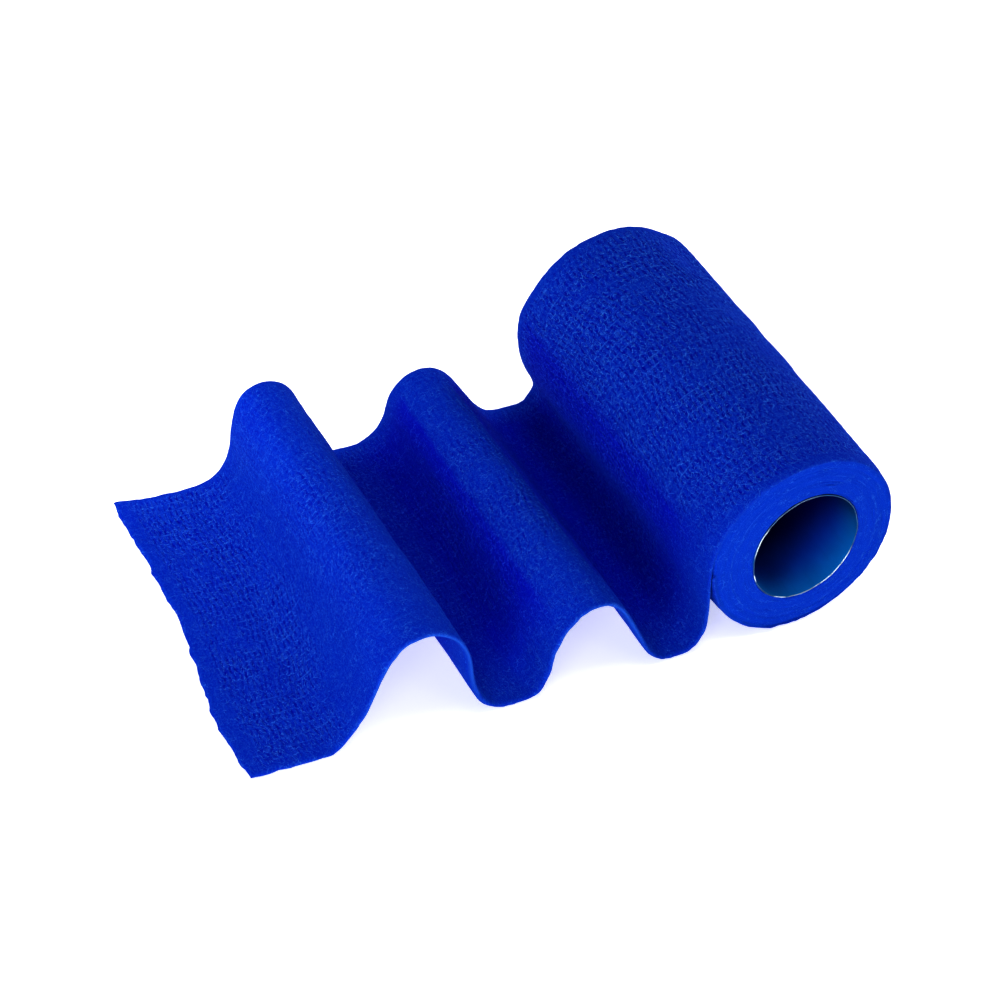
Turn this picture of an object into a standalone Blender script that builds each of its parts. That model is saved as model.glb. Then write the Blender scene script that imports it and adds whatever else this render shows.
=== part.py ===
"""Cohesive bandage roll, partly unrolled.

One cut strip of stretchy cohesive cloth, wound on a thin-walled tube. The
roll rests on its side. Its outer turn peels away on the left and runs out to
the cut end in two standing waves, with flat troughs between them.

Millimetres here, turned into metres when the meshes are made. Working frame:
x = 0 on the roll's middle plane, negative towards the cut end; y runs along
the roll, from its near face to its far face; z = 0 is the surface it lies on.
"""
import math
from collections import namedtuple

import bmesh
import bpy
from mathutils import Vector
from mathutils.geometry import tessellate_polygon

# ---------------------------------------------------------------- sizes, mm
STRIP_WIDTH = 100.0        # width of the strip = length of the roll
CLOTH = 1.4                # thickness of the puckered cloth, lying loose
GAP = 0.3                  # gap between neighbouring pieces and at the peel

ROLL_RADIUS = 26.8         # over the outer turn, where it peels away
TURN = 0.8                 # thickness of one turn, wound tight
ROLL_X = 0.4               # middle of the roll
FLAT_HALF_ANGLE = 6.0      # degrees of the flattened spot under the roll
NEAR_DRAW = 0.45           # how much the turns draw in at the near face,
FAR_DRAW = 0.1             # at the far face,
DRAW_OVER = 8.0            # and over what length

CORE_X = 0.9               # the tube sits a little off the roll's middle
CORE_DROP = 0.4
CORE_BORE_R = 15.1
CORE_WALL = 0.8
CORE_LENGTH = 99.4

PEEL_NEAR = 186.0          # degrees round the roll where the turn lifts off,
PEEL_FAR = 216.0           # counted from +x over the top to the left side

# ------------------------------------------------------------------- folds
# The underside of the loose end, a row for each place where the cloth turns:
# x, height and running direction (degrees, towards the roll) at the near and
# the far edge, how far the row bows sideways at mid width, and the number of
# steps the mesh takes to the next row.
Fold = namedtuple("Fold", "place near_x near_z near_dir far_x far_z far_dir bow steps")
FOLDS = (
    Fold("cut end",        -148.2,  0.0,   0, -136.6,  1.4,  -7, 0.0, 3),
    Fold("end lies flat",  -137.0,  0.0,   0, -128.0,  0.0,   0, 0.0, 2),
    Fold("wave 1 foot",    -126.6,  0.0,   6, -117.5,  0.0,   0, 0.0, 5),
    Fold("wave 1 turns up", -119.6,  6.6,  52, -108.3,  4.0,  58, 0.0, 3),
    Fold("wave 1 rise",    -114.6, 18.0,  74, -105.9, 13.5,  90, 0.0, 6),
    Fold("wave 1 crest",   -104.4, 29.6,   0,  -99.6, 29.1,   0, 0.0, 6),
    Fold("wave 1 fall",     -91.2, 16.0, -82,  -88.6, 16.5, -76, 0.0, 7),
    Fold("trough 1",        -79.8,  0.0,   0,  -79.5,  0.0,   0, 0.0, 2),
    Fold("trough 1 end",    -74.0,  0.0,   0,  -72.0,  0.0,   0, 0.0, 6),
    Fold("wave 2 rise",     -67.0, 11.0,  76,  -61.6, 12.0,  88, 0.0, 6),
    Fold("wave 2 crest",    -56.2, 23.6,   0,  -53.7, 20.3,   0, 0.0, 6),
    Fold("wave 2 fall",     -46.0, 13.2, -60,  -42.4, 10.8, -54, 0.0, 6),
    Fold("trough 2",        -34.2,  0.0,   0,  -30.0,  0.0,   0, 0.0, 2),
    Fold("trough 2 end",    -31.0,  0.0,   0,  -24.0,  0.0,   0, 0.0, 6),
    Fold("rise to roll",    -24.0,  8.0,  80,  -18.2,  5.4,  75, 0.0, 6),
)
# The cut is not quite square: how far it wanders, in x, across the width.
Cut = namedtuple("Cut", "across wander")
CUT_EDGE = (
    Cut(0.00, 1.0),
    Cut(0.06, 0.1),
    Cut(0.22, -1.0),
    Cut(0.40, 0.5),
    Cut(0.55, 1.4),
    Cut(0.75, 0.3),
    Cut(0.90, -1.2),
    Cut(1.00, -1.3),
)
# cross-sections, as shares of the width from the near to the far face
STATIONS = (0.0, 0.02, 0.07, 0.15, 0.24, 0.36, 0.48, 0.60, 0.72, 0.83, 0.93, 0.98, 1.0)
ARC_STEP = 6.0             # degrees between the roll's outline points

# ----------------------------------------------------------------- colours
CLOTH_BLUE = (0.004, 0.022, 0.50, 1.0)
CORE_NAVY = (0.004, 0.020, 0.10, 1.0)

# ---------------------------------------------------- sizes worked out here
CORE_R = CORE_BORE_R + CORE_WALL
HOLE_R = CORE_R + GAP
SHRINK = (TURN + GAP) / 360.0                  # outline radius lost per degree


def lerp(a, b, t):
    return a + (b - a) * t


def peel_angle(w):
    return lerp(PEEL_NEAR, PEEL_FAR, w)


def draw_in(w):
    """The turns lie a little deeper next to either face."""
    from_near = min(1.0, STRIP_WIDTH * w / DRAW_OVER)
    from_far = min(1.0, STRIP_WIDTH * (1.0 - w) / DRAW_OVER)
    return NEAR_DRAW * (1.0 - from_near) ** 2 + FAR_DRAW * (1.0 - from_far) ** 2


def cut_wander(w):
    for a, b in zip(CUT_EDGE, CUT_EDGE[1:]):
        if w <= b.across:
            t = (w - a.across) / (b.across - a.across)
            return lerp(a.wander, b.wander, t * t * (3.0 - 2.0 * t))
    return CUT_EDGE[-1].wander


def outline_radius(theta, w):
    """Radius of the wound outline; theta falls from the peel round by 360."""
    return ROLL_RADIUS - draw_in(w) - SHRINK * (peel_angle(w) - theta)


# height of the roll's middle: both edges of the flattened spot are at z = 0,
# also at the far end, where the outline is smallest
BOTTOM_R = ROLL_RADIUS - SHRINK * (PEEL_FAR + 90.0 + FLAT_HALF_ANGLE)
ROLL_Z = BOTTOM_R * math.cos(math.radians(FLAT_HALF_ANGLE))


def on_roll(radius, theta):
    a = math.radians(theta)
    return Vector((ROLL_X + radius * math.cos(a), max(0.0, ROLL_Z + radius * math.sin(a))))


def fold_rows(w):
    """(x, z, direction, steps) of every fold at w, 0 near edge to 1 far edge."""
    rows = []
    for f in FOLDS:
        x = lerp(f.near_x, f.far_x, w) + f.bow * 4.0 * w * (1.0 - w)
        z = lerp(f.near_z, f.far_z, w)
        if f is FOLDS[0]:
            x += cut_wander(w)
        rows.append((Vector((x, z)), lerp(f.near_dir, f.far_dir, w), f.steps))
    peel = peel_angle(w)
    rows.append((on_roll(outline_radius(peel, w) - TURN, peel), peel - 90.0, 0))
    return rows


def heading(degrees):
    a = math.radians(degrees)
    return Vector((math.cos(a), math.sin(a)))


def underside(w):
    """Points of the loose end, cut end to peel, and from each the way to its top.

    The cloth is pressed down to a turn's thickness on its way to the peel."""
    rows = fold_rows(w)
    pts, up = [], []
    for i, ((p0, d0, steps), (p1, d1, _)) in enumerate(zip(rows, rows[1:])):
        reach = (p1 - p0).length / math.cos(math.radians(abs(d1 - d0)) / 4.0) ** 2
        m0, m1 = heading(d0) * reach, heading(d1) * reach
        for k in range(steps):
            t = k / steps
            pts.append((2*t**3 - 3*t**2 + 1) * p0 + (t**3 - 2*t**2 + t) * m0
                       + (3*t**2 - 2*t**3) * p1 + (t**3 - t**2) * m1)
            along = ((6*t**2 - 6*t) * p0 + (3*t**2 - 4*t + 1) * m0
                     + (6*t - 6*t**2) * p1 + (3*t**2 - 2*t) * m1).normalized()
            press = t * t * (3.0 - 2.0 * t) if i == len(rows) - 2 else 0.0
            up.append(Vector((-along.y, along.x)) * lerp(CLOTH, TURN, press))
    pts.append(rows[-1][0])
    along = heading(rows[-1][1])
    up.append(Vector((-along.y, along.x)) * TURN)
    for p in pts:
        p.y = max(0.0, p.y)
    return pts, up


def steps_between(a, b):
    """Angles from a down to b, both ends kept, about ARC_STEP apart."""
    n = max(1, round((a - b) / ARC_STEP))
    return [lerp(a, b, k / n) for k in range(n + 1)]


# the same number of outline points at every station
UPPER = len(steps_between(PEEL_FAR, 90.0))
LOWER = len(steps_between(-90.0 - FLAT_HALF_ANGLE, PEEL_NEAR - 360.0))


def roll_outline(w):
    """Outline of the wound cloth, from the peel over the top, round and back."""
    peel = peel_angle(w)
    upper = [lerp(peel, 90.0, k / (UPPER - 1)) for k in range(UPPER)]
    middle = steps_between(90.0, -90.0 + FLAT_HALF_ANGLE)[1:]
    lower = [lerp(-90.0 - FLAT_HALF_ANGLE, peel - 360.0, k / (LOWER - 1)) for k in range(LOWER)]
    return [on_roll(outline_radius(a, w), a) for a in upper + middle + lower]


def section(w):
    """Closed outline of the strip at w: top, roll, then back along the underside."""
    under, up = underside(w)
    top = [p + u for p, u in zip(under, up)]
    roll = roll_outline(w)
    return top[:-1], roll, under[::-1]


def hole_outline(count=48):
    cx, cz = CORE_X, ROLL_Z - CORE_DROP
    return [Vector((cx + HOLE_R * math.cos(2 * math.pi * k / count),
                    cz + HOLE_R * math.sin(2 * math.pi * k / count))) for k in range(count)]


# the model's origin is under the middle of its outer box
LEFT = min(p.x for w in STATIONS for part in section(w) for p in part)
RIGHT = max(p.x for w in STATIONS for p in section(w)[1])
MIDDLE_X = 0.5 * (LEFT + RIGHT)


def place(x, y, z):
    return (0.001 * (x - MIDDLE_X), 0.001 * (y - 0.5 * STRIP_WIDTH), 0.001 * z)


def material(name, colour, roughness):
    mat = bpy.data.materials.new(name)
    mat.use_nodes = True
    shader = mat.node_tree.nodes["Principled BSDF"]
    shader.inputs["Base Color"].default_value = colour
    shader.inputs["Roughness"].default_value = roughness
    shader.inputs["Metallic"].default_value = 0.0
    return mat


def add_object(name, bm, mat, parent, sharp_degrees):
    bmesh.ops.recalc_face_normals(bm, faces=bm.faces)
    mesh = bpy.data.meshes.new(name)
    bm.to_mesh(mesh)
    bm.free()
    mesh.materials.append(mat)
    mesh.shade_smooth()
    mesh.set_sharp_from_angle(angle=math.radians(sharp_degrees))
    obj = bpy.data.objects.new(name, mesh)
    bpy.context.scene.collection.objects.link(obj)
    obj.parent = parent
    return obj


def cap(bm, top, roll, under, hole, outward):
    """Close one face of the strip: a ladder up the loose end, then the roll."""
    rungs = list(zip(top + [roll[0]], under[::-1]))
    faces = [(a[0], b[0], b[1], a[1]) for a, b in zip(rungs, rungs[1:])]
    outer = [under[0]] + roll
    loops = [[v.co for v in outer], [v.co for v in hole]]
    flat = outer + hole
    faces += [tuple(flat[i] for i in tri) for tri in tessellate_polygon(loops)]
    for verts in faces:
        face = bm.faces.new(verts)
        face.normal_update()
        if face.normal.y * outward < 0.0:
            face.normal_flip()


def make_bandage(parent):
    bm = bmesh.new()
    rings, holes, parts = [], [], []
    for w in STATIONS:
        y = STRIP_WIDTH * w
        top, roll, under = ([bm.verts.new(place(p.x, y, p.y)) for p in part] for part in section(w))
        parts.append((top, roll, under))
        rings.append(top + roll + under)
        holes.append([bm.verts.new(place(p.x, y, p.y)) for p in hole_outline()])
    for loops in (rings, holes):
        for a, b in zip(loops, loops[1:]):
            n = len(a)
            for i in range(n):
                bm.faces.new((a[i], a[(i + 1) % n], b[(i + 1) % n], b[i]))
    cap(bm, *parts[0], holes[0], -1.0)
    cap(bm, *parts[-1], holes[-1], 1.0)
    return add_object("bandage", bm, material("cohesive_cloth", CLOTH_BLUE, 0.9), parent, 40.0)


def make_core(parent):
    """Thin-walled tube: its wall section turned once round the roll's length."""
    bm = bmesh.new()
    y0 = 0.5 * (STRIP_WIDTH - CORE_LENGTH)
    y1 = y0 + CORE_LENGTH
    cz = ROLL_Z - CORE_DROP
    wall = [(CORE_BORE_R, y0), (CORE_R, y0), (CORE_R, y1), (CORE_BORE_R, y1)]
    verts = [bm.verts.new(place(CORE_X + r, y, cz)) for r, y in wall]
    edges = [bm.edges.new((verts[i], verts[(i + 1) % 4])) for i in range(4)]
    bmesh.ops.spin(bm, geom=verts + edges, cent=place(CORE_X, 0.0, cz), axis=(0.0, 1.0, 0.0),
                   angle=2.0 * math.pi, steps=48, use_merge=True)
    bmesh.ops.remove_doubles(bm, verts=bm.verts, dist=1e-6)
    return add_object("core", bm, material("core_plastic", CORE_NAVY, 0.35), parent, 40.0)


def main():
    for obj in list(bpy.data.objects):
        bpy.data.objects.remove(obj, do_unlink=True)
    anchor = bpy.data.objects.new("bandage_roll", None)
    bpy.context.scene.collection.objects.link(anchor)
    make_bandage(anchor)
    make_core(anchor)


main()
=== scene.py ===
"""Cohesive bandage roll: the looks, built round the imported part.

The strip is one continuous surface: it starts at the cut end, runs through the
two standing waves and then once round the roll. It is made as one fine grid of
puckered cloth and cut in two at the peel: a loose sheet, and the wound roll
with its spiral of turns on both end faces. A finer tube stands for the core.

Millimetres while the shapes are worked out. Working frame: x = 0 on the roll's
middle plane, y from the near face (0) to the far face (100), z = 0 the table.
"""

import math

import bpy
import numpy as np
from mathutils import Matrix, Vector


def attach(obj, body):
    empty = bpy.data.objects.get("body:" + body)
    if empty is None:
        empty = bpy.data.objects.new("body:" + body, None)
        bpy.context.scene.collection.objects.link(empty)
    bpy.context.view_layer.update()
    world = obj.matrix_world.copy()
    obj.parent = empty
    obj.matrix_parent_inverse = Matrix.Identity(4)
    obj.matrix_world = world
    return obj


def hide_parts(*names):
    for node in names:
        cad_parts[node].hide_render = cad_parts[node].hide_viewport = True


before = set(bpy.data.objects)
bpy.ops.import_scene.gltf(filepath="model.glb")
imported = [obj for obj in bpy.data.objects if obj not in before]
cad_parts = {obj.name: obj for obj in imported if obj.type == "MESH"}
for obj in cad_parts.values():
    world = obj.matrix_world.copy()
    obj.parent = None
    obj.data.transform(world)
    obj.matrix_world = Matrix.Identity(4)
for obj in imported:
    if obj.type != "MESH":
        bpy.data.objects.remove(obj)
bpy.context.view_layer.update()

# ------------------------------------------------------- sizes, as in the part
WIDTH = 100.0
CLOTH = 1.4
GAP = 0.3
ROLL_RADIUS = 26.8
TURN = 0.8
ROLL_X = 0.4
FLAT_HALF_ANGLE = 6.0
NEAR_DRAW, FAR_DRAW, DRAW_OVER = 0.45, 0.1, 8.0
CORE_X, CORE_DROP = 0.9, 0.4
CORE_BORE_R, CORE_WALL = 15.1, 0.8
PEEL_NEAR, PEEL_FAR = 186.0, 216.0
MIDDLE_X = -60.3410673
SHRINK = (TURN + GAP) / 360.0
BOTTOM_R = ROLL_RADIUS - SHRINK * (PEEL_FAR + 90.0 + FLAT_HALF_ANGLE)
ROLL_Z = BOTTOM_R * math.cos(math.radians(FLAT_HALF_ANGLE))

# underside of the loose end: x, z, direction at the near edge, then at the far
FOLDS = (
    (-148.2, 0.0, 0, -136.6, 1.4, -7),      # cut end
    (-137.0, 0.0, 0, -128.0, 0.0, 0),       # end lies flat
    (-126.6, 0.0, 6, -117.5, 0.0, 0),       # wave 1 foot
    (-119.6, 6.6, 52, -108.3, 4.0, 58),     # wave 1 turns up
    (-114.6, 18.0, 74, -105.9, 13.5, 90),   # wave 1 rise
    (-104.4, 29.6, 0, -99.6, 29.1, 0),      # wave 1 crest
    (-91.2, 16.0, -82, -88.6, 16.5, -76),   # wave 1 fall
    (-79.8, 0.0, 0, -79.5, 0.0, 0),         # trough 1
    (-74.0, 0.0, 0, -72.0, 0.0, 0),         # trough 1 end
    (-67.0, 11.0, 76, -61.6, 12.0, 88),     # wave 2 rise
    (-56.2, 23.6, 0, -53.7, 20.3, 0),       # wave 2 crest
    (-46.0, 13.2, -60, -42.4, 10.8, -54),   # wave 2 fall
    (-34.2, 0.0, 0, -30.0, 0.0, 0),         # trough 2
    (-31.0, 0.0, 0, -24.0, 0.0, 0),         # trough 2 end
    (-24.0, 8.0, 80, -18.2, 5.4, 75),       # rise to roll
)
CUT_EDGE = ((0.0, 1.0), (0.06, 0.1), (0.22, -1.0), (0.40, 0.5), (0.55, 1.4),
            (0.75, 0.3), (0.90, -1.2), (1.0, -1.3))

# ------------------------------------------------------------ mesh resolution
NA = 504                   # steps along the loose end
NR = 400                   # steps round the roll
STEP_V = 0.6               # across the strip
TURNS = 12                 # turns that show on the end faces, under the outer one
HOLE_R = CORE_BORE_R + CORE_WALL + 0.03
MOUTH_R = CORE_BORE_R + 0.36          # the innermost turns lap over the tube's outer corner
EDGE = 0.8                 # the cut sides of the cloth are rounded over this


# near its near mouth the tube is slightly oval and lies a little low and to one side
MOUTH_X, MOUTH_DROP, MOUTH_OVAL = 0.42, 0.42, 0.038
MOUTH_FULL, MOUTH_END = 2.0, 20.0          # all of it as far as here, none from there


def mouth(y):
    """Share of the near mouth's offsets at a distance from the near face."""
    return np.clip((MOUTH_END - y) / (MOUTH_END - MOUTH_FULL), 0.0, 1.0)


# ----------------------------------------------------------------- noise tools
def hash01(ix, iy, seed):
    """A repeatable number from 0 to 1 for each lattice point."""
    h = (ix.astype(np.int64) * 374761393 + iy.astype(np.int64) * 668265263
         + seed * 2246822519) & 0xFFFFFFFF
    h = ((h ^ (h >> 13)) * 1274126177) & 0xFFFFFFFF
    h = ((h ^ (h >> 16)) * 2654435761) & 0xFFFFFFFF
    return ((h ^ (h >> 15)) & 0xFFFFFF) / float(0xFFFFFF)


def noise(x, y, seed):
    """Smooth noise from -1 to 1 with a wavelength of about one unit."""
    ix, iy = np.floor(x), np.floor(y)
    fx, fy = x - ix, y - iy
    ux, uy = fx * fx * fx * (fx * (fx * 6 - 15) + 10), fy * fy * fy * (fy * (fy * 6 - 15) + 10)
    a, b = hash01(ix, iy, seed), hash01(ix + 1, iy, seed)
    c, d = hash01(ix, iy + 1, seed), hash01(ix + 1, iy + 1, seed)
    return 2.0 * ((a + (b - a) * ux) * (1 - uy) + (c + (d - c) * ux) * uy) - 1.0


def smooth(a, b, x):
    t = np.clip((x - a) / (b - a), 0.0, 1.0)
    return t * t * (3 - 2 * t)


# ------------------------------------------------------------ the strip's path
def peel_angle(w):
    return PEEL_NEAR + (PEEL_FAR - PEEL_NEAR) * w


def draw_in(w):
    near = np.minimum(1.0, WIDTH * w / DRAW_OVER)
    far = np.minimum(1.0, WIDTH * (1.0 - w) / DRAW_OVER)
    return NEAR_DRAW * (1.0 - near) ** 2 + FAR_DRAW * (1.0 - far) ** 2


def outline_radius(theta, w):
    return ROLL_RADIUS - draw_in(w) - SHRINK * (peel_angle(w) - theta)


def cut_wander(w):
    across = np.array([a for a, _ in CUT_EDGE])
    wander = np.array([b for _, b in CUT_EDGE])
    k = np.clip(np.searchsorted(across, w, side="right") - 1, 0, len(across) - 2)
    t = (w - across[k]) / (across[k + 1] - across[k])
    return wander[k] + (wander[k + 1] - wander[k]) * t * t * (3 - 2 * t)


def fold_rows(w):
    """x, z and direction of every fold, one row each, for all w at once."""
    x = np.array([f[0] + (f[3] - f[0]) * w for f in FOLDS])
    z = np.array([f[1] + (f[4] - f[1]) * w for f in FOLDS])
    d = np.array([f[2] + (f[5] - f[2]) * w for f in FOLDS])
    x[0] += cut_wander(w)
    peel = peel_angle(w)
    r, a = outline_radius(peel, w) - TURN, np.radians(peel)
    x = np.vstack([x, ROLL_X + r * np.cos(a)])
    z = np.vstack([z, ROLL_Z + r * np.sin(a)])
    return x, z, np.radians(np.vstack([d, peel - 90.0]))


def hermite(x, z, d, seg, t, col):
    """Point and direction on the underside at parameter seg + t."""
    x0, x1, z0, z1 = x[seg, col], x[seg + 1, col], z[seg, col], z[seg + 1, col]
    d0, d1 = d[seg, col], d[seg + 1, col]
    reach = np.hypot(x1 - x0, z1 - z0) / np.cos(np.abs(d1 - d0) / 4.0) ** 2
    h0, h1 = 2 * t**3 - 3 * t**2 + 1, t**3 - 2 * t**2 + t
    h2, h3 = 3 * t**2 - 2 * t**3, t**3 - t**2
    g0, g1, g2, g3 = 6 * t**2 - 6 * t, 3 * t**2 - 4 * t + 1, 6 * t - 6 * t**2, 3 * t**2 - 2 * t
    mx0, mz0, mx1, mz1 = reach * np.cos(d0), reach * np.sin(d0), reach * np.cos(d1), reach * np.sin(d1)
    px = h0 * x0 + h1 * mx0 + h2 * x1 + h3 * mx1
    pz = h0 * z0 + h1 * mz0 + h2 * z1 + h3 * mz1
    tx = g0 * x0 + g1 * mx0 + g2 * x1 + g3 * mx1
    tz = g0 * z0 + g1 * mz0 + g2 * z1 + g3 * mz1
    n = np.hypot(tx, tz)
    return px, pz, tx / n, tz / n


def loose_path(w):
    """Underside, and the way to the top, of the loose end at NA + 1 even steps."""
    x, z, d = fold_rows(w)
    segs, nw = len(x) - 1, len(w)
    fine = 48
    par = np.arange(segs * fine + 1) / fine
    seg = np.minimum(par.astype(int), segs - 1)
    cols = np.arange(nw)
    S, C = np.meshgrid(seg, cols, indexing="ij")
    T = np.repeat((par - seg)[:, None], nw, 1)
    px, pz, _, _ = hermite(x, z, d, S, T, C)
    pz = np.maximum(pz, 0.0)
    run = np.vstack([np.zeros(nw), np.cumsum(np.hypot(np.diff(px, axis=0), np.diff(pz, axis=0)), axis=0)])
    length = run[-1]
    want = np.linspace(0.0, 1.0, NA + 1)
    at = np.stack([np.interp(want * length[c], run[:, c], par) for c in range(nw)], axis=1)
    seg = np.minimum(at.astype(int), segs - 1)
    t = at - seg
    px, pz, tx, tz = hermite(x, z, d, seg, t, np.repeat(cols[None, :], NA + 1, 0))
    pz = np.maximum(pz, 0.0)
    press = np.where(seg == segs - 1, t * t * (3 - 2 * t), 0.0)
    thick = CLOTH + (TURN - CLOTH) * press
    return px, pz, -tz * thick, tx * thick, length


def roll_path(w):
    """The roll's outline at NR + 1 even angles, from the peel right round."""
    t = np.linspace(0.0, 1.0, NR + 1)[:, None]
    theta = peel_angle(w)[None, :] - 360.0 * t
    r, a = outline_radius(theta, w[None, :]), np.radians(theta)
    return ROLL_X + r * np.cos(a), np.maximum(0.0, ROLL_Z + r * np.sin(a)), theta


def soften(a, sigma):
    """Smooths a grid along its first axis; its ends run on in a straight line."""
    n = int(4 * sigma) + 1
    k = np.exp(-0.5 * (np.arange(-n, n + 1) / sigma) ** 2)
    k /= k.sum()
    steps = np.arange(1, n + 1)[:, None]
    head = a[:1] - (a[1:2] - a[:1]) * steps[::-1]
    tail = a[-1:] + (a[-1:] - a[-2:-1]) * steps
    p = np.vstack([head, a, tail])
    return sum(k[i] * p[i:i + len(a)] for i in range(2 * n + 1))


# rows across the strip: close together where the cut sides are rounded
rows_edge = [0.0, 0.06, 0.22, 0.47, 0.8, 1.25]
inner = 4 * round((WIDTH - 2 * rows_edge[-1]) / STEP_V / 4) + 2
v = np.concatenate([rows_edge, np.linspace(rows_edge[-1], WIDTH - rows_edge[-1], inner + 1)[1:-1],
                    WIDTH - np.array(rows_edge[::-1])])
NW = len(v)
assert (NW - 1) % 4 == 0, NW
w = v / WIDTH

ux, uz, hx, hz, length = loose_path(w)
rx, rz, theta = roll_path(w)

# the top of the whole strip, cut end to the end of the outer turn, softened so
# that no fold shows as a line, and the underside of the loose end
top_x = soften(np.vstack([ux + hx, rx[1:]]), 3.0)
top_z = soften(np.vstack([uz + hz, rz[1:]]), 3.0)
turn_r, turn_a = outline_radius(theta, w[None, :]) - TURN, np.radians(theta)
under_x = soften(np.vstack([ux, (ROLL_X + turn_r * np.cos(turn_a))[1:]]), 3.0)[:NA + 1]
under_z = soften(np.vstack([uz, (ROLL_Z + turn_r * np.sin(turn_a))[1:]]), 3.0)[:NA + 1]
under_z = np.maximum(under_z, 0.0)
# the far end of the roll's outline keeps its place
keep = smooth(NA + NR - 14, NA + NR - 2, np.arange(NA + NR + 1))[:, None]
top_x = top_x * (1 - keep) + np.vstack([ux + hx, rx[1:]]) * keep
top_z = top_z * (1 - keep) + np.vstack([uz + hz, rz[1:]]) * keep

# distance along the strip from its cut end, and across it
U = np.vstack([np.linspace(0, 1, NA + 1)[:, None] * length[None, :],
               length[None, :] + np.linspace(0, 1, NR + 1)[1:, None] * (2 * math.pi * (ROLL_RADIUS - 0.6))])
V = np.repeat(v[None, :], NA + NR + 1, 0)


def normals_of(x, y, z):
    """Unit normals of a grid, pointing up on the loose end, out on the roll."""
    au, bu, cu = (np.gradient(q, axis=0) for q in (x, y, z))
    av, bv, cv = (np.gradient(q, axis=1) for q in (x, y, z))
    n = np.stack([bu * cv - cu * bv, cu * av - au * cv, au * bv - bu * av], axis=-1)
    return n / np.maximum(np.linalg.norm(n, axis=-1, keepdims=True), 1e-12)


# ---------------------------------------------------------------- the puckers
# Elastic threads run along the strip, THREAD apart. Between two threads the
# cloth is gathered into short pleats that lie across the strip.
THREAD = 2.74
PLEAT_LOOSE, PLEAT_WOUND = 1.43, 1.62
# how strongly the cloth is gathered, along the strip from its cut end
GATHER = ((0, 0.85), (26, 0.9), (33, 0.42), (44, 0.45), (50, 0.5), (66, 0.44), (74, 0.45), (110, 0.4),
          (124, 0.62), (140, 0.55), (170, 0.4), (196, 0.75), (212, 1.2), (400, 1.2))


def thread_number(u, q):
    return q / THREAD + 0.07 * noise(u / 16.0, q / 7.0, 5)


def pleat_number(u, q):
    """Counts the pleats along the strip; each gap between threads has its own run."""
    run = np.where(u < 190.0, u / PLEAT_LOOSE, 190.0 / PLEAT_LOOSE + (u - 190.0) / PLEAT_WOUND)
    lane = thread_number(u, q) - 0.5
    return (run + 0.62 * noise(0.5 + 0 * u, lane, 11) + 0.34 * noise(u / 6.5, lane, 12)
            + 0.15 * noise(u / 2.4, lane, 13) + 0.10 * noise(u / 30.0, q / 20.0, 14) + 3.0)


def lane_shape(f):
    return smooth(0.04, 0.22, f) * (1.0 - smooth(0.78, 0.96, f))


def border(u, q):
    """1 next to a cut side, 0 where the puckers are full."""
    ragged = 0.9 * noise(u / 4.5, q / 4.5, 51) + 0.4 * noise(u / 1.8, q / 1.8, 52)
    side = np.minimum(q, WIDTH - q)
    on_roll = smooth(200.0, 212.0, u)
    near = 1.0 - smooth(0.8 + 0.7 * on_roll, 2.6 + 0.9 * on_roll + 0.8 * ragged, side)
    cut = 1.0 - smooth(2.6, 5.6 + 1.6 * ragged, u)
    return np.clip(np.maximum(near, cut), 0.0, 1.0)


def gather_of(u, q):
    along = np.interp(u, [g[0] for g in GATHER], [g[1] for g in GATHER])
    patch = 0.84 + 0.34 * noise(u / 9.5, q / 8.5, 41) + 0.28 * noise(u / 3.6, q / 3.4, 42)
    near_loss = np.interp(u, [0, 26, 34, 62, 70, 104, 112, 146, 154, 176, 190, 212, 224],
                          [0, 0, 0.65, 0.65, 0.1, 0.1, 0.55, 0.55, 0.1, 0.1, 0.8, 0.8, 0.35])
    far_loss = np.interp(u, [0, 44, 50, 68, 76, 112, 118, 134, 142], [0, 0, 0.35, 0.35, 0, 0, 0.75, 0.75, 0])
    kept = (1.0 - near_loss * (1.0 - smooth(8.0, 42.0, q))) * (1.0 - far_loss * smooth(58.0, 92.0, q))
    return np.clip(along * patch * kept, 0.06, 1.25)


BORDER = border(U, V)
PHASE, LANE = pleat_number(U, V), thread_number(U, V)
GATHERED = gather_of(U, V) * (1.0 - 0.93 * BORDER)
groove = (0.5 - 0.5 * np.cos(2 * np.pi * PHASE)) ** 1.3
to_thread = np.abs(LANE - np.round(LANE))
swell = (0.15 * noise(U / 9.0, V / 8.0, 61) + 0.09 * noise(U / 4.2, V / 4.6, 62)
         + 0.05 * noise(U / 1.7, V / 1.9, 63))
relief = (0.20 * GATHERED * (0.42 - groove) * lane_shape(LANE - np.floor(LANE))
          - 0.04 * GATHERED * np.exp(-(to_thread / 0.10) ** 2) + swell * (1.0 - 0.45 * BORDER))

# the cut sides: rounded in section, and not quite straight in plan
side_gap = np.minimum(V, WIDTH - V)
ROUND = np.sqrt(np.clip(1.0 - (1.0 - np.minimum(side_gap, EDGE) / EDGE) ** 2, 0.0, 1.0))
edge_wave = (0.16 * noise(U / 3.4, V / 50.0, 71) + 0.10 * noise(U / 1.4, V / 50.0, 72)
             + 0.22 * noise(U / 17.0, V / 50.0, 73)) * np.exp(-side_gap / 1.6)
low = 1.0 - smooth(3.0, 15.0, top_z)
before_roll = 1.0 - smooth(length[None, :] - 7.0, length[None, :] - 1.0, U)
further = np.interp(U, [0, 60, 100, 150, 190], [0.50, 0.55, 0.75, 0.95, 0.95])
edge_out = (0.20 + np.where(V < WIDTH / 2, further, 0.0) * low * before_roll) * np.exp(-side_gap / 3.0)
y_grid = V + np.where(V < WIDTH / 2, edge_wave - edge_out, edge_out - edge_wave)

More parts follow.
